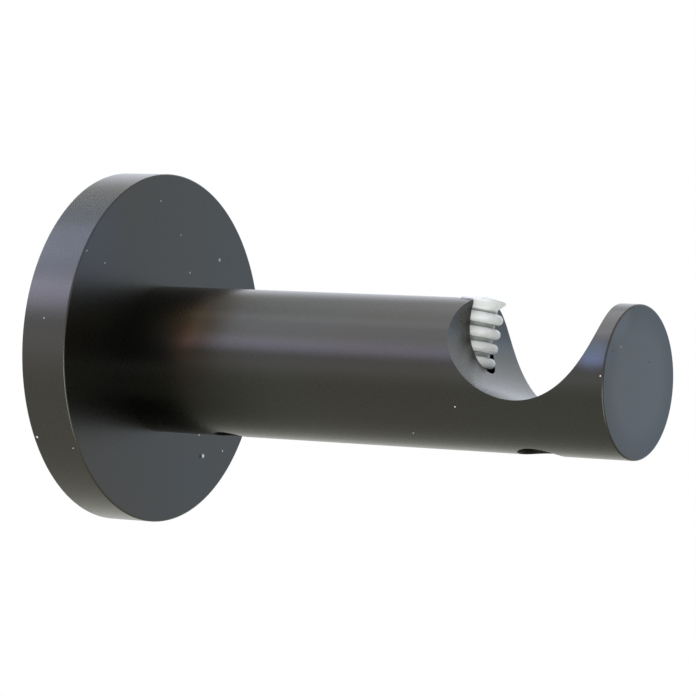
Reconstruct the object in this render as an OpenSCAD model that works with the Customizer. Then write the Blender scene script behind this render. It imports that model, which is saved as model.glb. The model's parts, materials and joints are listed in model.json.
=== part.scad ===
// Curtain pole bracket: a round stem on a wall rose, recessed from above for the pole.
// +X runs out from the wall along the stem, Y runs along the pole and +Z is up.
// The origin is on the stem's axis, in the plane of the wall.

/* [Pole seat] */
// Diameter of the pole that the recess takes
pole_d = 28; // [24:0.5:29]
// Play round the pole in its recess, on the diameter
pole_play = 0.5; // [0:0.1:1.5]
// Distance from the wall to the pole's axis
projection = 88.8; // [75:0.1:140]
// Height of the pole's axis above the stem's axis
pole_rise = 9; // [7:0.5:11]
// Metal left between the recess and the stem's end face, at the height of the pole's axis
lip_t = 3; // [1.5:0.1:15]

/* [Stem] */
// Diameter of the stem
stem_d = 26.6; // [25:0.1:32]
// Broken edge round the stem's ends
stem_edge = 0.25; // [0.1:0.05:1]
// Wall of the stem round the spigot's bore
socket_wall = 6.2; // [5:0.1:7.5]
// Reach of that bore past the spigot's tip
socket_spare = 1.5; // [0.5:0.5:5]

/* [Pole screw hole] */
// Recess under the stem for the head of the screw that holds the pole
screw_head_d = 8.4; // [6:0.1:11]
// Hole for the shank of that screw
screw_shank_d = 4.8; // [3:0.1:5.5]
// Metal left between the head's recess and the pole
screw_floor = 3.5; // [1.5:0.1:5]

/* [Rose] */
// Diameter of the rose
rose_d = 63.6; // [56:0.1:90]
// Thickness of the rose at its rim
rose_t = 9.2; // [6.5:0.1:14]
// Thickness of its rim wall
rose_rim = 3.4; // [1:0.1:4]
// Lift of the rose's centre above the stem's axis, taken up by its play on the spigot
rose_lift = 2; // [0:0.1:2.5]
// Broken edge round the rose
rose_edge = 0.25; // [0.1:0.05:1]

/* [Wall plate] */
// Thickness of the wall plate
plate_t = 3; // [2.6:0.1:4]
// Least space between the plate's edge and the inside of the rose's rim
plate_gap = 1.4; // [0.3:0.1:3]
// Space between the plate and the inside of the rose's face
plate_front_gap = 2; // [0.5:0.1:2.2]
// Distance from the plate's edge to the middle of a wall screw
wall_screw_edge = 7; // [5:0.5:9]
// Number of wall screws
wall_screws = 3; // [2:1:6]
// Hole for a wall screw's shank
wall_screw_d = 4.6; // [3:0.1:5.5]
// Straight wall left in that hole, behind the cone for the screw's head
wall_screw_land = 1; // [0.3:0.1:1.5]

/* [Spigot] */
// Length of the spigot inside the stem
spigot_reach = 25; // [20:0.5:40]
// Play between the spigot and its bore, all round
spigot_play = 0.1; // [0.02:0.01:0.3]
// Depth of the groove that the grub screw bites into
groove_depth = 1.2; // [0.5:0.1:2]

/* [Screws] */
// Grub screw's thread diameter
grub_d = 6; // [4:0.5:6]
// Distance from the rose's front face to the grub screw
grub_from_rose = 16; // [10:0.5:18]
// Depth of the grub screw's end below the stem's surface
grub_sink = 1.5; // [0:0.1:2.5]
// Socket of the grub screw, across flats
grub_key = 3; // [2:0.5:3]
// Depth of that socket
grub_key_depth = 2.5; // [1:0.1:2.5]
// Spigot screw's thread diameter
spigot_screw_d = 5; // [4:0.5:5]
// Length of the spigot screw
spigot_screw_len = 16; // [12:1:20]
// Straight wall left in the plate in front of that screw's head
spigot_screw_land = 0.6; // [0.3:0.1:1]
// Depth of the spigot screw's head below the plate's back
spigot_head_sink = 0.2; // [0.1:0.05:0.3]
// Socket of the spigot screw, across flats
spigot_key = 3; // [2:0.5:3.5]
// Depth of that socket
spigot_key_depth = 1.6; // [1:0.1:2]

/* [Grip plug] */
// Diameter over the plug's rings
plug_d = 8; // [6:0.1:9]
// Diameter of the plug between its rings
plug_core_d = 5.3; // [3:0.1:5.5]
// Number of rings on the plug, counting the crown's rim
rings = 8; // [3:1:8]
// Distance from one ring to the next
ring_pitch = 2.55; // [2:0.05:2.6]
// Thickness of a ring
ring_t = 1.9; // [1:0.05:1.9]
// Reach of the plug into the pole's recess
plug_bite = 3.6; // [1:0.05:4]
// Height of the plug's top above the stem
plug_proud = 0.6; // [0:0.1:2]
// Lean of the plug towards the pole, in degrees
plug_lean = 5; // [0:0.5:8]
// Play between the plug and its bore, all round
plug_play = 0.1; // [0.05:0.05:0.5]
// Height of the crown's top above its rim
crown_h = 1.1; // [0.6:0.1:2]
// Depth of the cone under the crown's rim
crown_cone_h = 1.2; // [0.5:0.1:1.4]
// Thickness of the crown's rim
crown_rim_t = 0.3; // [0.1:0.1:0.6]
// Width of the flat on the crown
crown_flat_d = 4.4; // [2:0.1:6]
// Length of the plug's tail below its last ring
tail_len = 0.5; // [0.2:0.1:2]

/* [Hidden] */
$fn = 96;

// How far each cut runs past the face that it opens
overrun = 1;
// Gap between a screw and its hole, all round
thread_play = 0.05;
// Half the angle of a drill's point and of a countersink
drill_half_angle = 59;
countersink_half_angle = 45;
// A regular hexagon's corners stand out from its flats by this share
hex_corner_share = 1 / cos(30);
// The crown's brow, as shares of the way from its flat out to its rim and from its rim up to its flat
crown_brow_out_share = 0.45;
crown_brow_up_share = 0.7;

stem_r = stem_d / 2;
recess_r = (pole_d + pole_play) / 2;
recess_floor_z = pole_rise - recess_r;
stem_len = projection + recess_r + lip_t - rose_t;

socket_r = stem_r - socket_wall;
spigot_r = socket_r - spigot_play;
socket_depth = spigot_reach + socket_spare;
spigot_len = rose_t - plate_t + spigot_reach;
groove_r = spigot_r - groove_depth;
grub_x = rose_t + grub_from_rose;
spigot_edge = spigot_play * 8;

rose_r = rose_d / 2;
rose_bore_r = spigot_r + rose_lift + thread_play;
hollow_r = rose_r - rose_rim;
hollow_depth = plate_t + plate_front_gap;

plate_r = hollow_r - rose_lift - plate_gap;
wall_screw_r = wall_screw_d / 2;
wall_screw_cone = plate_t - wall_screw_land;

spigot_screw_r = spigot_screw_d / 2;
spigot_head_h = plate_t - spigot_screw_land - spigot_head_sink;
spigot_head_r = spigot_screw_r + spigot_head_h / tan(countersink_half_angle);
spigot_screw_tip = spigot_screw_r / 3;
spigot_tap_spare = spigot_screw_r;

grub_r = grub_d / 2;
grub_tip_r = grub_r / 6;

plug_r = plug_d / 2;
plug_core_r = plug_core_d / 2;
ring_r = ring_t / 2;
plug_len = crown_h + (rings - 1) * ring_pitch + ring_r + tail_len;
plug_bore_r = plug_r + plug_play;
// Where the plug's axis crosses the height of the pole's axis
plug_x = projection - recess_r + plug_bite - plug_r;
// Distance along the plug's axis from there to the top of its crown
plug_top = (stem_r + plug_proud - pole_rise) / cos(plug_lean);

dark_plate = "#43464b";
zinc_plate = "#b9bdc1";
black_steel = "#2b2b2d";
pale_rubber = "#cfd3d1";

// Places a shape turned round Z so that its axis lies along the stem's
module along_stem(x = 0, z = 0) {
    translate([x, 0, z]) rotate([0, 90, 0]) children();
}

// A round bar with its two end edges broken, standing on Z
module bar(r, len, edge) {
    rotate_extrude()
        polygon([
            [0, 0],
            [r - edge, 0],
            [r, edge],
            [r, len - edge],
            [r - edge, len],
            [0, len]
        ]);
}

// A drilled hole with the cone that the drill leaves, going down from Z = 0
module drilled(r, depth) {
    translate([0, 0, -depth]) cylinder(r = r, h = depth + overrun);
    point_h = r / tan(drill_half_angle);
    translate([0, 0, -depth - point_h]) cylinder(r1 = 0, r2 = r, h = point_h);
}

// A hexagonal socket sunk from Z = 0 into what lies above it
module hex_socket(across, depth) {
    translate([0, 0, -overrun]) cylinder(d = across * hex_corner_share, h = depth + overrun, $fn = 6);
}

// Puts what stands on Z into the plug's leaning axis, from the top of its crown down
module in_plug_bore() {
    translate([plug_x, 0, pole_rise]) rotate([0, plug_lean, 0]) translate([0, 0, plug_top]) children();
}

// The cut for the pole, the leaning bore that breaks into it, and the holes from below
module stem() {
    color(dark_plate)
    difference() {
        along_stem(rose_t) bar(stem_r, stem_len, stem_edge);
        translate([projection, 0, pole_rise])
            rotate([90, 0, 0])
            cylinder(r = recess_r, h = stem_d + 2 * overrun, center = true);
        in_plug_bore() translate([0, 0, -plug_len]) cylinder(r = plug_bore_r, h = plug_len + stem_r);
        pole_screw_hole();
        translate([rose_t, 0, 0]) rotate([0, -90, 0]) drilled(socket_r, socket_depth);
        translate([grub_x, 0, -stem_r - overrun]) cylinder(r = grub_r, h = stem_r + overrun);
    }
}

// The stepped hole under the pole: a wide recess for the screw's head, then its shank's hole
module pole_screw_hole() {
    head_depth = stem_r + recess_floor_z - screw_floor;
    translate([projection, 0, -stem_r]) {
        translate([0, 0, -overrun]) cylinder(d = screw_head_d, h = head_depth + overrun);
        cylinder(d = screw_shank_d, h = head_depth + screw_floor + overrun);
    }
}

// A turned dish, open at the wall, whose bore lets it ride up on the spigot
module wall_rose() {
    color(dark_plate)
    along_stem(z = rose_lift)
    rotate_extrude()
        polygon([
            [rose_bore_r, hollow_depth],
            [hollow_r, hollow_depth],
            [hollow_r, 0],
            [rose_r - rose_edge, 0],
            [rose_r, rose_edge],
            [rose_r, rose_t - rose_edge],
            [rose_r - rose_edge, rose_t],
            [rose_bore_r, rose_t]
        ]);
}

// A countersunk hole through the plate, with its wide mouth at Z = 0 and its shank going down
module countersunk_hole(shank_r, cone) {
    mouth_r = shank_r + cone * tan(countersink_half_angle);
    translate([0, 0, -plate_t - overrun]) cylinder(r = shank_r, h = plate_t + 2 * overrun);
    translate([0, 0, -cone]) cylinder(r1 = shank_r, r2 = mouth_r, h = cone);
    cylinder(r = mouth_r, h = overrun);
}

// The plate on the wall: wall screws go in from the front, and the spigot's screw from behind
module wall_plate() {
    color(zinc_plate)
    difference() {
        along_stem() bar(plate_r, plate_t, plate_t / 12);
        for (i = [0 : wall_screws - 1])
            rotate([i * 360 / wall_screws, 0, 0])
            along_stem(plate_t, plate_r - wall_screw_edge)
            countersunk_hole(wall_screw_r, wall_screw_cone);
        rotate([0, -90, 0])
            countersunk_hole(spigot_screw_r + thread_play, plate_t - spigot_screw_land);
    }
}

// The peg that carries the stem, with a grub screw's groove and a tapped hole at its wall end
module spigot() {
    groove_at = grub_x - plate_t;
    color(zinc_plate)
    along_stem(plate_t)
    difference() {
        rotate_extrude()
            polygon([
                [0, 0],
                [spigot_r, 0],
                [spigot_r, groove_at - groove_depth],
                [groove_r, groove_at],
                [spigot_r, groove_at + groove_depth],
                [spigot_r, spigot_len - spigot_edge],
                [spigot_r - spigot_edge, spigot_len],
                [0, spigot_len]
            ]);
        mirror([0, 0, 1]) drilled(spigot_screw_r + thread_play, spigot_screw_len - plate_t + spigot_tap_spare);
    }
}

// A flat-headed socket screw, from the plate's back into the spigot
module spigot_screw() {
    color(black_steel)
    along_stem(spigot_head_sink)
    difference() {
        rotate_extrude()
            polygon([
                [0, 0],
                [spigot_head_r, 0],
                [spigot_screw_r, spigot_head_h],
                [spigot_screw_r, spigot_screw_len - spigot_screw_tip],
                [spigot_screw_r - spigot_screw_tip, spigot_screw_len],
                [0, spigot_screw_len]
            ]);
        hex_socket(spigot_key, spigot_key_depth);
    }
}

// A cone-point socket set screw, up from under the stem into the spigot's groove
module stem_grub_screw() {
    body_r = grub_r - thread_play;
    cone_h = body_r - grub_tip_r;
    low = -stem_r + grub_sink;
    high = -groove_r - thread_play - grub_tip_r;
    color(black_steel)
    translate([grub_x, 0, low])
    difference() {
        rotate_extrude()
            polygon([
                [0, 0],
                [body_r - grub_tip_r, 0],
                [body_r, grub_tip_r],
                [body_r, high - low - cone_h],
                [grub_tip_r, high - low],
                [0, high - low]
            ]);
        hex_socket(grub_key, grub_key_depth);
    }
}

// The soft plug: round-edged rings on a core, under a crown like a lens
module grip_plug() {
    color(pale_rubber)
    in_plug_bore()
    translate([0, 0, -plug_len])
    rotate_extrude() {
        top_ring = plug_len - crown_h;
        square([plug_core_r, top_ring]);
        for (i = [1 : rings - 1])
            translate([0, top_ring - i * ring_pitch]) ring_section();
        crown_section(top_ring);
    }
}

// Half of a ring's section: flat-sided to a round edge
module ring_section() {
    translate([0, -ring_r]) square([plug_r - ring_r, ring_t]);
    translate([plug_r - ring_r, 0]) circle(r = ring_r, $fn = 48);
}

// Half of the crown's section: a cone up to a thin rim, then a low dome
module crown_section(at) {
    flat_r = crown_flat_d / 2;
    brow_r = flat_r + (plug_r - flat_r) * crown_brow_out_share;
    translate([0, at])
        polygon([
            [0, -crown_cone_h],
            [plug_core_r, -crown_cone_h],
            [plug_r, -crown_rim_t / 2],
            [plug_r, crown_rim_t / 2],
            [brow_r, crown_h * crown_brow_up_share],
            [flat_r, crown_h],
            [0, crown_h]
        ]);
}

stem();
wall_rose();
wall_plate();
spigot();
spigot_screw();
stem_grub_screw();
grip_plug();
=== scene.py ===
import json
import math

import bmesh
import bpy
from mathutils import Matrix, Vector


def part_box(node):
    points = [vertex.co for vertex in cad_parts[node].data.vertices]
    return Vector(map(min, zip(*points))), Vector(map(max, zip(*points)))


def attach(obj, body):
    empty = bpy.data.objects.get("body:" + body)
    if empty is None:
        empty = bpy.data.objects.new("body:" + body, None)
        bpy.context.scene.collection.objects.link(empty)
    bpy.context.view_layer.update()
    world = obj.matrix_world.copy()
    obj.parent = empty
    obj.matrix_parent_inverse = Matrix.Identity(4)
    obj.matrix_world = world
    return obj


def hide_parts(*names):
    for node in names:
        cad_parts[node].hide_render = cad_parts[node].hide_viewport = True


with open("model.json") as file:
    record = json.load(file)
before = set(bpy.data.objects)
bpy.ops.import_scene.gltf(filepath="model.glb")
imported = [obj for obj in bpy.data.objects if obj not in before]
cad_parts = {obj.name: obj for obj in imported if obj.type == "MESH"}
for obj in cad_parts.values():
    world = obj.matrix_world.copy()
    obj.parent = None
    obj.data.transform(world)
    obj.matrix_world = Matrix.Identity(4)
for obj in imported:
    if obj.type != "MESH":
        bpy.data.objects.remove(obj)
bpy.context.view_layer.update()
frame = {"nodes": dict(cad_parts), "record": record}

MM = 0.001

# Sizes that the frame gives, in metres
mounts = {mount["name"]: mount for mount in frame["record"]["mounts"]}
seat = mounts["pole_seat"]
stem_low, stem_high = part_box("stem")
rose_low, rose_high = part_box("wall_rose")
spigot_low, spigot_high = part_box("spigot")
countersunk_low, countersunk_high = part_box("spigot_screw")
grub_low, grub_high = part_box("stem_grub_screw")
_, plug_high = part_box("grip_plug")

STEM_R = stem_high.z
SEAT_R = seat["dims"]["r_mm"] * MM
SEAT_X, _, SEAT_Z = seat["pos_m"]
ROSE_R = rose_high.y
ROSE_T = rose_high.x
ROSE_LIFT = (rose_high.z + rose_low.z) / 2
SPIGOT_R = spigot_high.z
GRUB_R = grub_high.y
GRUB_X = (grub_high.x + grub_low.x) / 2
PLUG_R = plug_high.y

# The play of each piece in its hole
ROSE_PLAY = 0.05 * MM
SOCKET_PLAY = 0.1 * MM
GRUB_PLAY = 0.05 * MM
PLUG_PLAY = 0.1 * MM

# The hidden side of the rose, and the stem's bores for the spigot and the grub screw
ROSE_BORE_R = SPIGOT_R + ROSE_LIFT + ROSE_PLAY
ROSE_RIM = 3.4 * MM
ROSE_HOLLOW = 5 * MM
SOCKET_R = SPIGOT_R + SOCKET_PLAY
SOCKET_DEPTH = 26.5 * MM
GRUB_HOLE_R = GRUB_R + GRUB_PLAY
DRILL_HALF_ANGLE = math.radians(59)

# The spigot's groove, and the two screws with their sockets for a 3 mm key
GROOVE_DEPTH = 1.2 * MM
HEX_FLAT_R = 1.5 * MM
COUNTERSUNK_SHANK_R = 2.5 * MM
COUNTERSUNK_HEX_DEPTH = 1.6 * MM
COUNTERSUNK_PITCH = 0.8 * MM
GRUB_HEX_DEPTH = 2.5 * MM
GRUB_PITCH = 1 * MM
GRUB_POINT_SHARE = 5 / 6
THREAD_DEPTH_SHARE = 0.6

# The grip plug and its leaning bore. It bites into the pole's seat and stands a little proud of the stem,
# and its crown rises from its rim over a brow to a small flat.
PLUG_LEAN = math.radians(5)
PLUG_BITE = 3.6 * MM
PLUG_PROUD = 0.45 * MM
PLUG_CORE_R = 2.8 * MM
PLUG_BORE_R = PLUG_R + PLUG_PLAY
MOUTH_DEPTH = 0.8 * MM
CROWN_H = 0.8 * MM
CROWN_FLAT_R = 2.2 * MM
CROWN_BROW_OUT_SHARE = 0.45
CROWN_BROW_UP_SHARE = 0.7
CROWN_RIM_T = 0.45 * MM
CROWN_CONE_H = 1.3 * MM
# Below the crown's cone, a short neck is left free of the painted groove shade
CROWN_NECK_H = 0.15 * MM
RINGS = 7
RING_PITCH = 2.55 * MM
RING_T = 1.85 * MM
RINGS_DROP = 0.45 * MM
TAIL_LEN = 0.5 * MM
PLUG_X = SEAT_X - SEAT_R + PLUG_BITE - PLUG_R
PLUG_TOP = (STEM_R + PLUG_PROUD - SEAT_Z) / math.cos(PLUG_LEAN)
PLUG_LEN = CROWN_H + RINGS * RING_PITCH + RING_T / 2 + TAIL_LEN

# Rounded, broken and worn edges
ROSE_EDGE = 0.3 * MM
ROSE_HOLLOW_EDGE = 0.6 * MM
STEM_END_EDGE = 0.3 * MM
CUT_EDGE = 0.16 * MM
SPIGOT_END_EDGE = 0.48 * MM
RING_ROOT_EDGE = 0.15 * MM
FINE_EDGE = 0.12 * MM

# How smooth the pieces are drawn: the steps round them, along a rounded edge, and in each pitch of a thread
ROUND_STEPS = 192
SMALL_ROUND_STEPS = 96
EDGE_STEPS = 4
RING_EDGE_STEPS = 9
CUT_EDGE_STEPS = 3
PLATE_EDGE_STEPS = 2
THREAD_CUTS = 8
CREASE = math.radians(32)
FLAT = math.radians(0.3)
WELD = 0.002 * MM

# The lathe turns round Z, and these turns lay its piece along the stem or along the pole
ALONG_STEM = (0, math.pi / 2, 0)
ALONG_POLE = (math.pi / 2, 0, 0)

# How far the cutters run past the stem
OVERRUN = 2 * STEM_R

# The marks that each point of a profile carries, after its radius and height
PROFILE_MARKS = {
    "rounding": "FLOAT",
    "cuts": "INT",
    "hexagon": "FLOAT",
    "thread": "FLOAT",
    "repeats": "BOOLEAN",
}

# The finishes. Clouds run from one tone to the other between their ends, and a grain has its own relief and
# the two values of roughness that it runs between.
NICKEL_CLOUDS = {"size": 30 * MM, "detail": 2, "ends": (0.35, 0.65)}
NICKEL_GRAIN = {"size": 0.4 * MM, "depth": 0.0015 * MM, "strength": 0.12, "roughness": (0.27, 0.29)}
STEM_TONES = ("#3e3d39", "#3d3e3b")
ROSE_TONES = ("#43423e", "#424341")
NICK_TONE = "#16150f"
DUST_TONE = "#d8d8d2"
ZINC_CLOUDS = {"size": 14 * MM, "detail": 4, "ends": (0.35, 0.68)}
ZINC_GRAIN = {"size": 0.3 * MM, "depth": 0.004 * MM, "strength": 0.4, "roughness": (0.26, 0.38)}
ZINC_GRAIN_STRETCH = 25
ZINC_TONES = ("#aab0b6", "#b8b5a8")
OIL_CLOUDS = {"size": 1.5 * MM, "detail": 4}
OIL_TONES = ("#2b2a2a", "#3c3c40")
OIL_ROUGHNESS = (0.3, 0.5)
SILICONE_CLOUDS = {"size": 3 * MM, "detail": 3}
SILICONE_TONES = ("#f0f3f3", "#f9fbfb")
# The tone of the painted shade in the plug's grooves
SILICONE_GROOVE_SHADE_TONE = "#9a9d98"
SILICONE_ROUGHNESS = 0.15
SILICONE_IOR = 1.41
SILICONE_SCATTER = 0.1
SILICONE_SCATTER_REACH = 0.3 * MM
SILICONE_SCATTER_SHARES = (1, 1, 0.9)
GRAIN_DETAIL = 3
GRAIN_ENDS = (0.3, 0.7)
# How far out from the plug's core the painted groove shade reaches, and how far below the crown's neck it
# sets in
GROOVE_SHADE_OUT = 0.45 * MM
GROOVE_SHADE_START = 0.4 * MM

# Painted light on the plating, as patches of other tones: painted shade and a brown reflection of the rose
# by
# the wall, and painted blue and grey reflections at the stem's free end and on the rose's rim. For each
# patch:
# the middle, how far it is whole and how far it reaches, in mm, and its tone. They are laid over each other
# in this order.
STEM_PAINTED_SHADE_AND_REFLECTIONS = {
    "painted shade under the stem by the wall": ((12, -4.2, -21.3), 10.8, 37.9, "#222320"),
    "painted brown shade ring by the wall": ((23.1, -1.1, 1.7), 9.5, 14.9, "#2a200d"),
    "painted pale brown reflection on the upper side": ((18.7, -16, 7.8), 0, 9.2, "#514832"),
    "painted brown reflection spot": ((21.5, -12.8, 3.2), 0.5, 5.2, "#3e3225"),
    "painted blue reflection on the free end's side": ((103.6, -12.8, 3.2), 1, 4, "#434a51"),
    "painted grey reflection on the top of the free end": ((104.5, -9.5, 9.5), 2.5, 6, "#4b4b4a"),
    "painted grey reflection on the end face": ((109, 0, 0), 8, 13, "#484845"),
}
ROSE_PAINTED_REFLECTIONS = {
    # A painted blue reflection on the upper side of the rim
    "painted blue reflection on the rim's side": ((4, -27, 18), 3, 16, "#424449"),
}

# Dust on the plating, and nicks in it: where each lies, and how far it reaches, in mm
ROSE_DUST = (
    (9.2, 16, -16.2, 0.45),
    (9.2, 14.7, 20.5, 0.35),
    (9.2, 22.4, -14.6, 0.2),
    (9.2, 5.3, 16.7, 0.2),
    (9.2, -21.9, 14.5, 0.15),
    (9.2, 1.1, 23.1, 0.15),
    (9.2, -6.5, 28.2, 0.15),
    (9.2, -27.8, 15.8, 0.15),
    (9.2, 13.9, -12.5, 0.2),
    (0.8, -25.1, -17.5, 0.3),
    (4.4, -31.8, 3.1, 0.15),
    (8, -23.9, -19, 0.15),
)
STEM_DUST = (
    (77.4, -11.4, -6.8, 0.17),
    (67.1, -6.9, -11.4, 0.15),
    (105.5, -13.3, -0.5, 0.17),
    (106, -7.9, 5.1, 0.15),
)
ROSE_NICKS = (
    (9.2, 15, -16.4, 0.4),
)
STEM_NICKS = (
    (106, -8, 11.1, 0.5),
    (106, -9.2, 9.9, 0.35),
    (106, 3, 3.9, 0.25),
    (106, -10.6, 4, 0.25),
)
SPECK_CORE_SHARE = 0.5

# The soft boxes round the bracket: the azimuth from +X, elevation, width and height of each, in degrees, as
# the bracket sees it, and its radiance in red, green and blue, where the white studio's is 1. They stand at
# the lamps' range, in metres. Two that light the underside have one of their own, above the floor.
LAMP_AIM = Vector((60, 0, 0)) * MM
LAMP_RANGE = 1.4
UNDER_RANGE = 0.7
LAMPS = {
    "key": (-125, 44, 58, 31, (1.21, 1.15, 1.44)),
    "low_key": (-144, 21, 23, 15, (5.2, 4.8, 5.7)),
    "low_key_end": (-118, 21, 25, 15, (1.7, 1.55, 2.75)),
    "overhead": (172, 67, 50, 20, (1.62, 1.6, 1.82)),
    "wall_side": (180, 36, 49, 15, (6.7, 7.9, 7.7)),
    "front_low": (-105, -4, 84, 15, (0.48, 0.4, 0.47)),
    "back": (84, 29, 40, 30, (0.49, 0.57, 0.7)),
    "back_wall_side": (124, 24, 36, 34, (0.45, 0.5, 0.64)),
    "cool_back": (72, 6, 20, 26, (0.03, 0.36, 0.86)),
    "low_fill": (-50, -22, 40, 20, (5.6, 5.7, 5.6)),
    "under_back": (121, -32, 60, 17, (0.15, 0.15, 0.145), UNDER_RANGE),
    "under_end": (-50, -45, 36, 30, (3.6, 3.8, 3.6), UNDER_RANGE),
}

# How bright the studio is as plain light, where the camera sees it as 1
STUDIO_LIGHT = 0.33

# The floor lies under the camera. These are in metres. What the camera sees of it is lifted a little, and
# far out nearly to the studio's white, so that its edge doesn't show.
FLOOR_Z = -0.6
FLOOR_R = 2.5
FLOOR_STEPS = 96
FLOOR_TONE = "#e5e0ce"
FLOOR_LIFT = 0.14
FLOOR_EDGE_LIFT = 0.8
FLOOR_FADE_FROM = 1
FLOOR_FADE_TO = 2.2

# The camera, from a fit to the photograph's outlines
CAMERA_AIM = Vector((48.044, 0, 3.587)) * MM
CAMERA_RANGE = 643.93 * MM
CAMERA_AZIMUTH = math.radians(58.635)
CAMERA_ELEVATION = math.radians(-5.082)
CAMERA_ROLL = math.radians(5.754)
CAMERA_LENS_MM = 187.73
CAMERA_SENSOR_MM = 36
CAMERA_SEES_FROM = 0.01
CAMERA_SEES_TO = 20


def linear(hex_value):
    """An sRGB hex value as linear colour with full alpha."""
    channels = [int(hex_value[i:i + 2], 16) / 255 for i in (1, 3, 5)]
    return (*[c / 12.92 if c <= 0.04045 else ((c + 0.055) / 1.055) ** 2.4 for c in channels], 1)


def add(tree, kind, inputs=None, **settings):
    """Adds a node, sets its properties, and links or sets its inputs."""
    made = tree.nodes.new(kind)
    for name, value in settings.items():
        setattr(made, name, value)
    for key, value in (inputs or {}).items():
        if isinstance(value, bpy.types.NodeSocket):
            tree.links.new(value, made.inputs[key])
        else:
            made.inputs[key].default_value = value
    return made


def new_material(name):
    """An empty node material, with its shader and its Object coordinates."""
    material = bpy.data.materials.new(name)
    material.use_nodes = True
    tree = material.node_tree
    tree.nodes.clear()
    shader = add(tree, "ShaderNodeBsdfPrincipled")
    add(tree, "ShaderNodeOutputMaterial", {"Surface": shader.outputs["BSDF"]})
    place = add(tree, "ShaderNodeTexCoord").outputs["Object"]
    return material, tree, shader, place


def clouded(tree, place, tones, size, detail, ends=(0, 1)):
    """Clouds of that size that run from one tone to the other: how thick they are, and their colour."""
    clouds = add(tree, "ShaderNodeTexNoise", {"Vector": place, "Scale": 1 / size, "Detail": detail})
    ramp = add(tree, "ShaderNodeValToRGB", {"Fac": clouds.outputs["Fac"]})
    for stop, end, tone in zip(ramp.color_ramp.elements, ends, tones):
        stop.position = end
        stop.color = linear(tone)
    return clouds.outputs["Fac"], ramp.outputs["Color"]


def grained(tree, shader, place, size, depth, strength, roughness):
    """Gives a shader a grain of that size and depth, which varies its gloss as well."""
    noise = add(tree, "ShaderNodeTexNoise", {"Vector": place, "Scale": 1 / size, "Detail": GRAIN_DETAIL})
    grain = noise.outputs["Fac"]
    rough = add(tree, "ShaderNodeMapRange", {
        "Value": grain,
        "From Min": GRAIN_ENDS[0],
        "From Max": GRAIN_ENDS[1],
        "To Min": roughness[0],
        "To Max": roughness[1],
    })
    tree.links.new(rough.outputs["Result"], shader.inputs["Roughness"])
    bump = add(tree, "ShaderNodeBump", {"Height": grain, "Distance": depth, "Strength": strength})
    tree.links.new(bump.outputs["Normal"], shader.inputs["Normal"])


def near_points(tree, place, spots):
    """Is 1 in the core of each spot and falls to 0 at its reach. A spot is (x, y, z, core, reach) in mm."""
    total = None
    for *middle, core, reach in spots:
        away = add(tree, "ShaderNodeVectorMath", {
            0: place, 1: Vector(middle) * MM,
        }, operation="DISTANCE")
        share = add(tree, "ShaderNodeMapRange", {
            "Value": away.outputs["Value"],
            "From Min": core * MM,
            "From Max": reach * MM,
            "To Min": 1,
            "To Max": 0,
        }, interpolation_type="SMOOTHSTEP").outputs["Result"]
        total = share if total is None else add(
            tree, "ShaderNodeMath", {0: total, 1: share}, operation="MAXIMUM",
        ).outputs[0]
    return total


def specks(spots):
    """Dust or nicks as spots, each whole over the same share of its reach."""
    return [(x, y, z, SPECK_CORE_SHARE * reach, reach) for x, y, z, reach in spots]


def black_nickel_and_painted_light(name, tones, painted_light_patches, dust, nicks):
    """Black nickel plated over fine-blasted, turned brass: olive-black and satin, with painted shade and
    painted brown, blue and grey reflections in places.

    A little pale dust lies on it, and small nicks in it look black. The blasting's grain is finer than the
    render shows, so it is drawn several times as coarse.
    """
    material, tree, shader, place = new_material(name)
    _, colour = clouded(tree, place, tones, **NICKEL_CLOUDS)
    # The patches of painted shade and reflections are laid first, then the nicks and the dust
    layers = [
        (near_points(tree, place, [(*middle, core, reach)]), tone)
        for middle, core, reach, tone in painted_light_patches.values()
    ]
    dusty = near_points(tree, place, specks(dust))
    layers += [(near_points(tree, place, specks(nicks)), NICK_TONE), (dusty, DUST_TONE)]
    for share, tone in layers:
        laid_on = add(tree, "ShaderNodeMix", {0: share, 6: colour, 7: linear(tone)}, data_type="RGBA")
        colour = laid_on.outputs[2]
    tree.links.new(colour, shader.inputs["Base Color"])
    bare = add(tree, "ShaderNodeMath", {0: 1, 1: dusty}, operation="SUBTRACT")
    tree.links.new(bare.outputs[0], shader.inputs["Metallic"])
    grained(tree, shader, place, **NICKEL_GRAIN)
    return material


def bright_zinc():
    """Bright zinc plating on rolled steel: pale, bluish, with a faint yellow bloom and an upright grain.

    The rolled grain is finer than the render shows, so it is drawn coarser.
    """
    material, tree, shader, place = new_material("bright_zinc_plating")
    _, bloom = clouded(tree, place, ZINC_TONES, **ZINC_CLOUDS)
    tree.links.new(bloom, shader.inputs["Base Color"])
    rolled = add(tree, "ShaderNodeMapping", {"Vector": place, "Scale": (1, 1, 1 / ZINC_GRAIN_STRETCH)})
    grained(tree, shader, rolled.outputs["Vector"], **ZINC_GRAIN)
    shader.inputs["Metallic"].default_value = 1
    return material


def blackened_steel():
    """Blackened, oiled screw steel: nearly black, with a low shine that the oil makes uneven."""
    material, tree, shader, place = new_material("blackened_steel")
    oil, colour = clouded(tree, place, OIL_TONES, **OIL_CLOUDS)
    tree.links.new(colour, shader.inputs["Base Color"])
    rough = add(tree, "ShaderNodeMapRange", {
        "Value": oil, "To Min": OIL_ROUGHNESS[0], "To Max": OIL_ROUGHNESS[1],
    })
    tree.links.new(rough.outputs["Result"], shader.inputs["Roughness"])
    shader.inputs["Metallic"].default_value = 1
    return material


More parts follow.
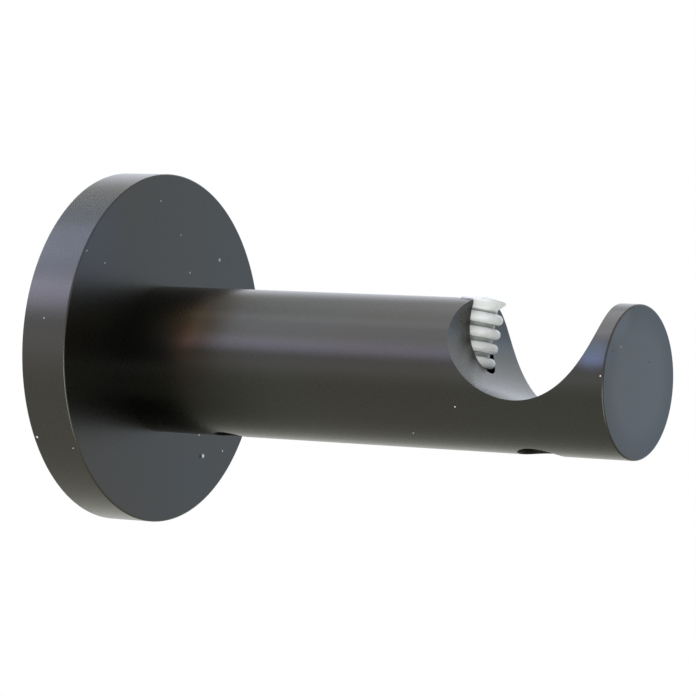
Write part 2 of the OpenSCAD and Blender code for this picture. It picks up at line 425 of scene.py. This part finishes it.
def groove_shade(tree, place):
    """The painted shade in the plug's grooves: is 1 on the plug's core, and falls to 0 out along the rings
    and up at the crown's neck.
    """
    centred = add(tree, "ShaderNodeVectorMath", {0: place, 1: crown_top()}, operation="SUBTRACT")
    upright = add(tree, "ShaderNodeVectorRotate", {
        "Vector": centred.outputs["Vector"], "Angle": -PLUG_LEAN,
    }, rotation_type="Y_AXIS").outputs["Vector"]
    level = add(tree, "ShaderNodeVectorMath", {0: upright, 1: (1, 1, 0)}, operation="MULTIPLY")
    off_axis = add(tree, "ShaderNodeVectorMath", {0: level.outputs["Vector"]}, operation="LENGTH")
    inward = add(tree, "ShaderNodeMapRange", {
        "Value": off_axis.outputs["Value"],
        "From Min": PLUG_CORE_R,
        "From Max": PLUG_CORE_R + GROOVE_SHADE_OUT,
        "To Min": 1,
        "To Max": 0,
    }, interpolation_type="SMOOTHSTEP")
    neck_end = -CROWN_H - CROWN_CONE_H - CROWN_NECK_H
    below = add(tree, "ShaderNodeMapRange", {
        "Value": add(tree, "ShaderNodeSeparateXYZ", {"Vector": upright}).outputs["Z"],
        "From Min": neck_end - GROOVE_SHADE_START,
        "From Max": neck_end,
        "To Min": 1,
        "To Max": 0,
    })
    shade = add(tree, "ShaderNodeMath", {
        0: inward.outputs["Result"], 1: below.outputs["Result"],
    }, operation="MULTIPLY")
    return shade.outputs[0]


def milky_silicone_and_painted_groove_shade():
    """Natural silicone rubber, moulded: milky and smooth, with painted shade in its grooves."""
    material, tree, shader, place = new_material("milky_silicone_and_painted_groove_shade")
    _, colour = clouded(tree, place, SILICONE_TONES, **SILICONE_CLOUDS)
    shaded = add(tree, "ShaderNodeMix", {
        0: groove_shade(tree, place), 6: colour, 7: linear(SILICONE_GROOVE_SHADE_TONE),
    }, data_type="RGBA")
    tree.links.new(shaded.outputs[2], shader.inputs["Base Color"])
    shader.inputs["Roughness"].default_value = SILICONE_ROUGHNESS
    shader.inputs["IOR"].default_value = SILICONE_IOR
    shader.inputs["Subsurface Weight"].default_value = SILICONE_SCATTER
    shader.inputs["Subsurface Radius"].default_value = SILICONE_SCATTER_SHARES
    shader.inputs["Subsurface Scale"].default_value = SILICONE_SCATTER_REACH
    return material


def new_tree(name, inputs, output):
    """A Geometry Nodes tree with its named inputs and one output, and what its inputs give."""
    tree = bpy.data.node_groups.new(name, "GeometryNodeTree")
    for given, kind in inputs.items():
        tree.interface.new_socket(given, in_out="INPUT", socket_type=kind)
    tree.interface.new_socket(output, in_out="OUTPUT", socket_type="NodeSocketGeometry")
    return tree, add(tree, "NodeGroupInput").outputs


def turning_nodes():
    """A lathe in nodes: a profile line in the XZ plane gets its rounded edges and is turned round Z.

    Each profile point's marks say how its corner is rounded, how many cuts divide the line after it,
    whether it follows a hexagon and whether it is threaded.
    """
    tree, given = new_tree("turned_on_a_lathe", {
        "Profile": "NodeSocketGeometry",
        "Steps": "NodeSocketInt",
        "Edge steps": "NodeSocketInt",
        "Thread pitch": "NodeSocketFloat",
        "Thread depth": "NodeSocketFloat",
        "Place": "NodeSocketVector",
        "Turn": "NodeSocketRotation",
        "Finish": "NodeSocketMaterial",
    }, "Piece")
    line = add(tree, "GeometryNodeMeshToCurve", {"Mesh": given["Profile"]})
    rounding = add(tree, "GeometryNodeInputNamedAttribute", {"Name": "rounding"})
    rounded = add(tree, "GeometryNodeFilletCurve", {
        "Curve": line.outputs["Curve"],
        "Count": given["Edge steps"],
        "Radius": rounding.outputs["Attribute"],
        "Limit Radius": True,
    }, mode="POLY")
    cuts = add(tree, "GeometryNodeInputNamedAttribute", {"Name": "cuts"}, data_type="INT")
    profile = add(tree, "GeometryNodeSubdivideCurve", {
        "Curve": rounded.outputs["Curve"], "Cuts": cuts.outputs["Attribute"],
    }).outputs["Curve"]

    # A grid with a row for each point of the profile, and a column for each step round the axis
    size = add(tree, "GeometryNodeAttributeDomainSize", {"Geometry": profile}, component="CURVE")
    points = size.outputs["Point Count"]
    columns = add(tree, "ShaderNodeMath", {0: given["Steps"], 1: 1}, operation="ADD")
    grid = add(tree, "GeometryNodeMeshGrid", {
        "Size X": 1, "Size Y": 1, "Vertices X": points, "Vertices Y": columns.outputs[0],
    })
    here = add(tree, "GeometryNodeInputPosition").outputs["Position"]
    share = add(tree, "ShaderNodeSeparateXYZ", {"Vector": here})
    last = add(tree, "ShaderNodeMath", {0: points, 1: 1}, operation="SUBTRACT")
    along = add(tree, "ShaderNodeMath", {0: share.outputs["X"], 1: 0.5}, operation="ADD")
    row = add(tree, "ShaderNodeMath", {0: along.outputs[0], 1: last.outputs[0]}, operation="MULTIPLY")
    row = add(tree, "ShaderNodeMath", {0: row.outputs[0]}, operation="ROUND").outputs[0]
    angle = add(tree, "ShaderNodeMath", {
        0: share.outputs["Y"], 1: math.tau,
    }, operation="MULTIPLY").outputs[0]

    # The profile's point and its hexagon and thread marks, read for each row
    point = add(tree, "GeometryNodeSampleIndex", {
        "Geometry": profile, "Value": here, "Index": row,
    }, data_type="FLOAT_VECTOR")
    at = add(tree, "ShaderNodeSeparateXYZ", {"Vector": point.outputs["Value"]})
    marks = {}
    for mark in ("hexagon", "thread"):
        named = add(tree, "GeometryNodeInputNamedAttribute", {"Name": mark})
        marks[mark] = add(tree, "GeometryNodeSampleIndex", {
            "Geometry": profile, "Value": named.outputs["Attribute"], "Index": row,
        }).outputs["Value"]

    # A hexagon's wall stands off its flats' radius by the secant of the angle from the nearest flat
    half_side = math.tau / 12
    flat = add(tree, "ShaderNodeMath", {0: angle, 1: half_side, 2: -half_side}, operation="WRAP")
    cosine = add(tree, "ShaderNodeMath", {0: flat.outputs[0]}, operation="COSINE")
    secant = add(tree, "ShaderNodeMath", {0: 1, 1: cosine.outputs[0]}, operation="DIVIDE")
    swell = add(tree, "ShaderNodeMix", {"Factor": marks["hexagon"], "A": 1, "B": secant.outputs[0]})
    walled = add(tree, "ShaderNodeMath", {
        0: at.outputs["X"], 1: swell.outputs["Result"],
    }, operation="MULTIPLY")

    # A thread is a saw of the height less the angle, one turn for each pitch
    turns = add(tree, "ShaderNodeMath", {
        0: at.outputs["Z"], 1: given["Thread pitch"],
    }, operation="DIVIDE")
    phase = add(tree, "ShaderNodeMath", {
        0: turns.outputs[0], 1: share.outputs["Y"],
    }, operation="SUBTRACT")
    saw = add(tree, "ShaderNodeMath", {0: phase.outputs[0], 1: 0.5}, operation="PINGPONG")
    depth = add(tree, "ShaderNodeMath", {
        0: given["Thread depth"], 1: marks["thread"],
    }, operation="MULTIPLY")
    sunk = add(tree, "ShaderNodeMath", {0: saw.outputs[0], 1: depth.outputs[0]}, operation="MULTIPLY")
    sunk = add(tree, "ShaderNodeMath", {0: sunk.outputs[0], 1: 2}, operation="MULTIPLY")
    radius = add(tree, "ShaderNodeMath", {0: walled.outputs[0], 1: sunk.outputs[0]}, operation="SUBTRACT")

    flat_point = add(tree, "ShaderNodeCombineXYZ", {"X": radius.outputs[0], "Z": at.outputs["Z"]})
    spun = add(tree, "ShaderNodeVectorRotate", {
        "Vector": flat_point.outputs["Vector"], "Angle": angle,
    }, rotation_type="Z_AXIS")
    shape = add(tree, "GeometryNodeSetPosition", {
        "Geometry": grid.outputs["Mesh"], "Position": spun.outputs["Vector"],
    })
    welded = add(tree, "GeometryNodeMergeByDistance", {
        "Geometry": shape.outputs["Geometry"], "Distance": WELD,
    })
    placed = add(tree, "GeometryNodeTransform", {
        "Geometry": welded.outputs["Geometry"], "Translation": given["Place"], "Rotation": given["Turn"],
    })
    real = add(tree, "GeometryNodeRealizeInstances", {"Geometry": placed.outputs["Geometry"]})
    done = add(tree, "GeometryNodeSetMaterial", {
        "Geometry": real.outputs["Geometry"], "Material": given["Finish"],
    })
    add(tree, "NodeGroupOutput", {"Piece": done.outputs["Geometry"]})
    return tree


def ring_nodes():
    """Repeats one ring's section down the plug, and leaves the crown's and tail's lines as they are."""
    tree, given = new_tree("rings_down_a_plug", {
        "Sections": "NodeSocketGeometry",
        "Rings": "NodeSocketInt",
        "Pitch": "NodeSocketFloat",
    }, "Profile")
    repeats = add(tree, "GeometryNodeInputNamedAttribute", {"Name": "repeats"}, data_type="BOOLEAN")
    parts = add(tree, "GeometryNodeSeparateGeometry", {
        "Geometry": given["Sections"], "Selection": repeats.outputs["Attribute"],
    })
    down = add(tree, "ShaderNodeMath", {0: given["Pitch"], 1: -1}, operation="MULTIPLY")
    step = add(tree, "ShaderNodeCombineXYZ", {"Z": down.outputs[0]})
    points = add(tree, "GeometryNodeMeshLine", {
        "Count": given["Rings"], "Offset": step.outputs["Vector"],
    })
    copies = add(tree, "GeometryNodeInstanceOnPoints", {
        "Points": points.outputs["Mesh"], "Instance": parts.outputs["Selection"],
    })
    real = add(tree, "GeometryNodeRealizeInstances", {"Geometry": copies.outputs["Instances"]})
    joined = add(tree, "GeometryNodeJoinGeometry", {"Geometry": real.outputs["Geometry"]})
    tree.links.new(parts.outputs["Inverted"], joined.inputs["Geometry"])
    welded = add(tree, "GeometryNodeMergeByDistance", {
        "Geometry": joined.outputs["Geometry"], "Distance": WELD,
    })
    add(tree, "NodeGroupOutput", {"Profile": welded.outputs["Geometry"]})
    return tree


def profile_object(name, lines):
    """A mesh of profile lines. A point is (radius, height) and its marks, and the marks left out are 0."""
    full = 2 + len(PROFILE_MARKS)
    points = [tuple(point) + (0,) * (full - len(point)) for line in lines for point in line]
    edges = []
    start = 0
    for line in lines:
        edges += [(start + i, start + i + 1) for i in range(len(line) - 1)]
        start += len(line)
    mesh = bpy.data.meshes.new(name)
    mesh.from_pydata([(point[0], 0, point[1]) for point in points], edges, [])
    for index, (mark, kind) in enumerate(PROFILE_MARKS.items()):
        stored = mesh.attributes.new(mark, kind, "POINT")
        stored.data.foreach_set("value", [point[2 + index] for point in points])
    made = bpy.data.objects.new(name, mesh)
    bpy.context.scene.collection.objects.link(made)
    return made


def run_nodes(piece, tree, **sizes):
    """Gives a piece a Geometry Nodes modifier, with its inputs set by their sockets' identifiers."""
    modifier = piece.modifiers.new(tree.name, "NODES")
    modifier.node_group = tree
    sockets = {
        item.name: item.identifier for item in tree.interface.items_tree if item.in_out == "INPUT"
    }
    for name, value in sizes.items():
        modifier[sockets[name.replace("_", " ")]] = value


def made_plain(piece):
    """Puts the evaluated mesh in the place of the piece's own mesh and its modifiers."""
    mesh = bpy.data.meshes.new_from_object(piece.evaluated_get(bpy.context.evaluated_depsgraph_get()))
    piece.modifiers.clear()
    piece.data = mesh
    mesh.name = piece.name
    return mesh


def clean(piece):
    """Makes the piece a plain mesh, with its doubles merged, its normals outward and its creases sharp."""
    mesh = made_plain(piece)
    shape = bmesh.new()
    shape.from_mesh(mesh)
    bmesh.ops.remove_doubles(shape, verts=shape.verts, dist=WELD)
    bmesh.ops.dissolve_degenerate(shape, edges=shape.edges, dist=WELD)
    bmesh.ops.dissolve_limit(
        shape, angle_limit=FLAT, verts=shape.verts, edges=shape.edges, delimit={"MATERIAL"},
    )
    bmesh.ops.recalc_face_normals(shape, faces=shape.faces)
    for face in shape.faces:
        face.smooth = True
    for edge in shape.edges:
        edge.smooth = edge.is_manifold and edge.calc_face_angle(0) < CREASE
    shape.to_mesh(mesh)
    shape.free()
    return piece


def finish_piece(piece, node):
    """Shades the piece by its large faces, and lets it stand for its CAD node."""
    shading = piece.modifiers.new("large_faces_first", "WEIGHTED_NORMAL")
    shading.keep_sharp = True
    made_plain(piece)
    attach(piece, "root")
    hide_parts(node)


def turned(
    name, lines, finish, place=(0, 0, 0), turn=(0, 0, 0),
    steps=SMALL_ROUND_STEPS, edge_steps=EDGE_STEPS, rings=0, **thread,
):
    """A piece turned from its profile's lines, as a plain mesh."""
    piece = profile_object(name, lines)
    if rings:
        run_nodes(piece, RING_NODES, Rings=rings, Pitch=RING_PITCH)
    run_nodes(
        piece, LATHE, Steps=steps, Edge_steps=edge_steps, Place=place, Turn=turn, Finish=finish, **thread,
    )
    return clean(piece)


def round_line(radius, low, high, tip=0):
    """A round cutter's profile from low to high. A tip adds a drill's cone above it."""
    return [(0, low), (radius, low), (radius, high), (0, high + tip)]


def crown_top():
    """The top of the plug's crown, on its leaning axis."""
    return Vector((PLUG_X, 0, SEAT_Z)) + Matrix.Rotation(PLUG_LEAN, 3, "Y") @ Vector((0, 0, PLUG_TOP))


def soften_cuts(piece, past_x):
    """Marks the sharp edges past that x for the bevel. The end that meets the rose keeps its sharp edges."""
    shape = bmesh.new()
    shape.from_mesh(piece.data)
    weight = shape.edges.layers.float.new("bevel_weight_edge")
    for edge in shape.edges:
        sharp = not edge.is_manifold or edge.calc_face_angle(0) > CREASE
        edge[weight] = float(sharp and min(vert.co.x for vert in edge.verts) > past_x)
    shape.to_mesh(piece.data)
    shape.free()


def plug_bore_line():
    """The profile of the plug's blind bore, which opens at 45 degrees from a little below the crown."""
    mouth = CROWN_H + MOUTH_DEPTH
    return [
        (0, -PLUG_LEN),
        (PLUG_BORE_R, -PLUG_LEN),
        (PLUG_BORE_R, -mouth),
        (PLUG_BORE_R + 2 * mouth, mouth),
        (0, mouth),
    ]


def stem_cutters(finish):
    """The solids that are cut from the stem: the pole's seat, and each bore and hole."""
    shank = mounts["pole_screw_hole"]["dims"]
    head = mounts["screw_head_recess"]["dims"]
    head_top = SEAT_Z - SEAT_R - shank["length_mm"] * MM
    seat_line = round_line(SEAT_R, -OVERRUN, OVERRUN)
    head_line = round_line(head["r_mm"] * MM, -OVERRUN, head_top)
    shank_line = round_line(shank["r_mm"] * MM, -OVERRUN, SEAT_Z)
    drill_tip = SOCKET_R / math.tan(DRILL_HALF_ANGLE)
    socket_line = round_line(SOCKET_R, 0, stem_low.x + SOCKET_DEPTH, tip=drill_tip)
    grub_line = round_line(GRUB_HOLE_R, -OVERRUN, 0)
    return [
        turned(
            "seat_cut", [seat_line], finish,
            place=(SEAT_X, 0, SEAT_Z), turn=ALONG_POLE, steps=ROUND_STEPS,
        ),
        turned("plug_cut", [plug_bore_line()], finish, place=crown_top(), turn=(0, PLUG_LEAN, 0)),
        turned("head_cut", [head_line], finish, place=(SEAT_X, 0, 0)),
        turned("shank_cut", [shank_line], finish, place=(SEAT_X, 0, 0)),
        turned("socket_cut", [socket_line], finish, turn=ALONG_STEM),
        turned("grub_cut", [grub_line], finish, place=(GRUB_X, 0, 0)),
    ]


def make_stem(finish):
    """The round bar, with the pole's seat and every hole cut out of it, and each cut edge softened."""
    bar = [(0, stem_low.x), (STEM_R, stem_low.x), (STEM_R, stem_high.x, STEM_END_EDGE), (0, stem_high.x)]
    stem = turned("stem_body", [bar], finish, turn=ALONG_STEM, steps=ROUND_STEPS)
    cutters = stem_cutters(finish)
    for cutter in cutters:
        cut = stem.modifiers.new(cutter.name, "BOOLEAN")
        cut.operation = "DIFFERENCE"
        cut.solver = "EXACT"
        cut.object = cutter
    clean(stem)
    for cutter in cutters:
        bpy.data.objects.remove(cutter)
    soften_cuts(stem, stem_low.x + CUT_EDGE)
    edge = stem.modifiers.new("softened_edges", "BEVEL")
    edge.width = CUT_EDGE
    edge.segments = CUT_EDGE_STEPS
    edge.limit_method = "WEIGHT"
    edge.miter_outer = "MITER_ARC"
    edge.use_clamp_overlap = True
    clean(stem)
    finish_piece(stem, "stem")


def make_rose(finish):
    """The turned dish on the wall, open at the back, with its play round the spigot."""
    middle = (ROSE_HOLLOW + ROSE_T) / 2
    line = [
        (ROSE_BORE_R, middle),
        (ROSE_BORE_R, ROSE_HOLLOW, FINE_EDGE),
        (ROSE_R - ROSE_RIM, ROSE_HOLLOW, ROSE_HOLLOW_EDGE),
        (ROSE_R - ROSE_RIM, 0, FINE_EDGE),
        (ROSE_R, 0, ROSE_EDGE),
        (ROSE_R, ROSE_T, ROSE_EDGE),
        (ROSE_BORE_R, ROSE_T, FINE_EDGE),
        (ROSE_BORE_R, middle),
    ]
    rose = turned(
        "rose_dish", [line], finish, place=(0, 0, ROSE_LIFT), turn=ALONG_STEM, steps=ROUND_STEPS,
    )
    finish_piece(rose, "wall_rose")


def make_plug(finish):
    """The soft plug: round-edged rings on a core, under a crown like a lens."""
    half = RING_T / 2
    gap = RING_PITCH / 2
    rim_half = CROWN_RIM_T / 2
    brow_r = CROWN_FLAT_R + (PLUG_R - CROWN_FLAT_R) * CROWN_BROW_OUT_SHARE
    crown = [
        (0, 0),
        (CROWN_FLAT_R, 0, CROWN_H),
        (brow_r, CROWN_H * (CROWN_BROW_UP_SHARE - 1), CROWN_H),
        (PLUG_R, rim_half - CROWN_H, rim_half),
        (PLUG_R, -rim_half - CROWN_H, rim_half),
        (PLUG_CORE_R, -CROWN_CONE_H - CROWN_H, RING_ROOT_EDGE),
        (PLUG_CORE_R, -CROWN_H - gap - RINGS_DROP),
    ]

    # Each point of the repeated ring has no cuts, hexagon or thread, and carries the mark that repeats it
    ring_z = -CROWN_H - RING_PITCH - RINGS_DROP
    ring = [
        (PLUG_CORE_R, ring_z + gap, 0, 0, 0, 0, 1),
        (PLUG_CORE_R, ring_z + half, RING_ROOT_EDGE, 0, 0, 0, 1),
        (PLUG_R, ring_z + half, half, 0, 0, 0, 1),
        (PLUG_R, ring_z - half, half, 0, 0, 0, 1),
        (PLUG_CORE_R, ring_z - half, RING_ROOT_EDGE, 0, 0, 0, 1),
        (PLUG_CORE_R, ring_z - gap, 0, 0, 0, 0, 1),
    ]
    last = -CROWN_H - gap - RINGS_DROP - RINGS * RING_PITCH
    tail = [(PLUG_CORE_R, last), (PLUG_CORE_R, -PLUG_LEN, RING_ROOT_EDGE), (0, -PLUG_LEN)]
    plug = turned(
        "ringed_plug", [crown, ring, tail], finish, place=crown_top(), turn=(0, PLUG_LEAN, 0),
        rings=RINGS, edge_steps=RING_EDGE_STEPS,
    )
    finish_piece(plug, "grip_plug")


def make_spigot(finish):
    """The peg on the wall plate, with the grub screw's groove and the other screw's tapped hole."""
    tap_r = COUNTERSUNK_SHANK_R
    line = [
        (0, countersunk_high.x + tap_r),
        (tap_r, countersunk_high.x + tap_r / 2),
        (tap_r, spigot_low.x, FINE_EDGE),
        (SPIGOT_R, spigot_low.x, FINE_EDGE),
        (SPIGOT_R, GRUB_X - GROOVE_DEPTH, FINE_EDGE),
        (SPIGOT_R - GROOVE_DEPTH, GRUB_X, FINE_EDGE),
        (SPIGOT_R, GRUB_X + GROOVE_DEPTH, FINE_EDGE),
        (SPIGOT_R, spigot_high.x, SPIGOT_END_EDGE),
        (0, spigot_high.x),
    ]
    spigot = turned("turned_spigot", [line], finish, turn=ALONG_STEM)
    finish_piece(spigot, "spigot")


def hex_socket_line(low, depth):
    """The profile of a hexagon socket from its drilled bottom out to the screw's end at low."""
    return [
        (0, low + depth + HEX_FLAT_R / 2),
        (HEX_FLAT_R, low + depth, 0, 0, 1),
        (HEX_FLAT_R, low, FINE_EDGE, 0, 1),
    ]


def make_countersunk_screw(finish):
    """The 90 degree flat-headed socket screw from the plate's back into the spigot, with its thread."""
    low, high = countersunk_low.x, countersunk_high.x
    head_r = countersunk_high.z
    shank_r = COUNTERSUNK_SHANK_R
    pitch = COUNTERSUNK_PITCH
    neck = low + head_r - shank_r
    cuts = round((high - neck) / pitch) * THREAD_CUTS
    line = [
        *hex_socket_line(low, COUNTERSUNK_HEX_DEPTH),
        (head_r, low, FINE_EDGE),
        (shank_r, neck, FINE_EDGE),
        (shank_r, neck + pitch, 0, cuts, 0, 1),
        (shank_r, high - pitch, 0, 0, 0, 1),
        (shank_r - pitch, high),
        (0, high),
    ]
    screw = turned(
        "countersunk_socket_screw", [line], finish, turn=ALONG_STEM,
        Thread_pitch=pitch, Thread_depth=THREAD_DEPTH_SHARE * pitch,
    )
    finish_piece(screw, "spigot_screw")


def make_grub_screw(finish):
    """The cone-point socket set screw under the stem, with its thread."""
    low, high = grub_low.z, grub_high.z
    pitch = GRUB_PITCH
    point = GRUB_R * GRUB_POINT_SHARE
    top = high - point
    cuts = round((top - low) / pitch) * THREAD_CUTS
    line = [
        *hex_socket_line(low, GRUB_HEX_DEPTH),
        (GRUB_R - pitch / 2, low),
        (GRUB_R, low + pitch / 2, 0, cuts, 0, 1),
        (GRUB_R, top, 0, 0, 0, 1),
        (GRUB_R - point, high, FINE_EDGE),
        (0, high),
    ]
    screw = turned(
        "socket_set_screw", [line], finish, place=(GRUB_X, 0, 0),
        Thread_pitch=pitch, Thread_depth=THREAD_DEPTH_SHARE * pitch,
    )
    finish_piece(screw, "stem_grub_screw")


def make_wall_plate(finish):
    """The plate's own CAD shape, with its edges softened."""
    source = frame["nodes"]["wall_plate"]
    plate = bpy.data.objects.new("screw_plate", source.data.copy())
    bpy.context.scene.collection.objects.link(plate)
    plate.data.materials.clear()
    plate.data.materials.append(finish)
    clean(plate)
    edge = plate.modifiers.new("softened_edges", "BEVEL")
    edge.width = FINE_EDGE
    edge.segments = PLATE_EDGE_STEPS
    edge.limit_method = "ANGLE"
    edge.angle_limit = CREASE
    clean(plate)
    finish_piece(plate, "wall_plate")


def make_camera():
    """The photograph's camera: below the stem, turned a little on its own axis."""
    flat = math.cos(CAMERA_ELEVATION)
    back = Vector((
        flat * math.cos(CAMERA_AZIMUTH),
        -flat * math.sin(CAMERA_AZIMUTH),
        math.sin(CAMERA_ELEVATION),
    ))
    level = Vector((0, 0, 1)).cross(back).normalized()
    upright = back.cross(level)
    right = math.cos(CAMERA_ROLL) * level + math.sin(CAMERA_ROLL) * upright
    up = back.cross(right)
    data = bpy.data.cameras.new("camera")
    data.lens = CAMERA_LENS_MM
    data.sensor_width = CAMERA_SENSOR_MM
    data.clip_start = CAMERA_SEES_FROM
    data.clip_end = CAMERA_SEES_TO
    camera = bpy.data.objects.new("camera", data)
    place = Matrix.Translation(CAMERA_AIM + CAMERA_RANGE * back)
    camera.matrix_world = place @ Matrix((right, up, back)).transposed().to_4x4()
    bpy.context.scene.collection.objects.link(camera)
    bpy.context.scene.camera = camera


def seen_or_mirrored(tree):
    """Is 1 where the camera sees the place, itself or in metal or glass, and 0 in plain light."""
    ray = add(tree, "ShaderNodeLightPath").outputs
    seen = add(tree, "ShaderNodeMath", {
        0: ray["Is Camera Ray"], 1: ray["Is Glossy Ray"],
    }, operation="MAXIMUM")
    seen = add(tree, "ShaderNodeMath", {
        0: seen.outputs[0], 1: ray["Is Transmission Ray"],
    }, operation="MAXIMUM")
    return seen.outputs[0]


def make_world():
    """A white studio to the camera and in the metal's gloss, and a dimmer one as plain light."""
    world = bpy.data.worlds.new("white_studio")
    world.use_nodes = True
    tree = world.node_tree
    tree.nodes.clear()
    level = add(tree, "ShaderNodeMapRange", {
        "Value": seen_or_mirrored(tree), "To Min": STUDIO_LIGHT, "To Max": 1,
    })
    studio = add(tree, "ShaderNodeBackground", {
        "Color": (1, 1, 1, 1), "Strength": level.outputs["Result"],
    })
    add(tree, "ShaderNodeOutputWorld", {"Surface": studio.outputs[0]})
    bpy.context.scene.world = world


def make_lamp(name, azimuth, elevation, width, height, radiance, reach=LAMP_RANGE):
    """A soft box of plain light at that reach, which faces the bracket and stays out of the picture."""
    round_z = Matrix.Rotation(math.radians(azimuth), 3, "Z")
    turn = round_z @ Matrix.Rotation(-math.radians(elevation), 3, "Y")
    away = turn @ Vector((1, 0, 0))
    side = turn @ Vector((0, 1, 0))
    data = bpy.data.lights.new(name, "AREA")
    data.shape = "RECTANGLE"
    data.size = 2 * reach * math.tan(math.radians(width / 2))
    data.size_y = 2 * reach * math.tan(math.radians(height / 2))
    data.energy = math.pi * data.size * data.size_y * max(radiance)
    data.color = [level / max(radiance) for level in radiance]
    lamp = bpy.data.objects.new(name, data)
    place = Matrix.Translation(LAMP_AIM + reach * away)
    lamp.matrix_world = place @ Matrix((side, away.cross(side), away)).transposed().to_4x4()
    lamp.visible_camera = False
    bpy.context.scene.collection.objects.link(lamp)


def white_floor():
    """Matt, faintly warm studio paint, with a plain lift for what the camera sees of it."""
    material = bpy.data.materials.new("white_floor")
    material.use_nodes = True
    tree = material.node_tree
    tree.nodes.clear()
    paint = add(tree, "ShaderNodeBsdfDiffuse", {"Color": linear(FLOOR_TONE)}).outputs[0]
    place = add(tree, "ShaderNodeTexCoord").outputs["Object"]
    away = add(tree, "ShaderNodeVectorMath", {0: place}, operation="LENGTH")
    level = add(tree, "ShaderNodeMapRange", {
        "Value": away.outputs["Value"],
        "From Min": FLOOR_FADE_FROM,
        "From Max": FLOOR_FADE_TO,
        "To Min": FLOOR_LIFT,
        "To Max": FLOOR_EDGE_LIFT,
    }, interpolation_type="SMOOTHSTEP")
    lift = add(tree, "ShaderNodeEmission", {"Color": (1, 1, 1, 1), "Strength": level.outputs["Result"]})
    bright = add(tree, "ShaderNodeAddShader", {0: paint, 1: lift.outputs[0]})
    mixed = add(tree, "ShaderNodeMixShader", {0: seen_or_mirrored(tree), 1: paint, 2: bright.outputs[0]})
    add(tree, "ShaderNodeOutputMaterial", {"Surface": mixed.outputs["Shader"]})
    return material


def make_floor():
    """A plain pale floor under the bracket, which keeps its shadow."""
    shape = bmesh.new()
    bmesh.ops.create_circle(shape, cap_ends=True, segments=FLOOR_STEPS, radius=FLOOR_R)
    bmesh.ops.translate(shape, vec=(0, 0, FLOOR_Z), verts=shape.verts)
    mesh = bpy.data.meshes.new("floor")
    shape.to_mesh(mesh)
    shape.free()
    mesh.materials.append(white_floor())
    floor = bpy.data.objects.new("floor", mesh)
    bpy.context.scene.collection.objects.link(floor)


LATHE = turning_nodes()
RING_NODES = ring_nodes()
# Each nickel carries its painted shade and reflections as well as its dust and nicks
stem_nickel_and_painted_light = black_nickel_and_painted_light("black_nickel_and_painted_light", STEM_TONES, STEM_PAINTED_SHADE_AND_REFLECTIONS, STEM_DUST, STEM_NICKS)
rose_nickel_and_painted_light = black_nickel_and_painted_light(
    "black_nickel_and_painted_light_on_the_rose", ROSE_TONES, ROSE_PAINTED_REFLECTIONS, ROSE_DUST, ROSE_NICKS,
)
zinc = bright_zinc()
black = blackened_steel()

make_stem(stem_nickel_and_painted_light)
make_rose(rose_nickel_and_painted_light)
make_wall_plate(zinc)
make_spigot(zinc)
make_countersunk_screw(black)
make_grub_screw(black)
make_plug(milky_silicone_and_painted_groove_shade())
make_floor()
make_world()
for lamp_name, lamp in LAMPS.items():
    make_lamp(lamp_name, *lamp)
make_camera()
bpy.context.scene.view_settings.view_transform = "Standard"
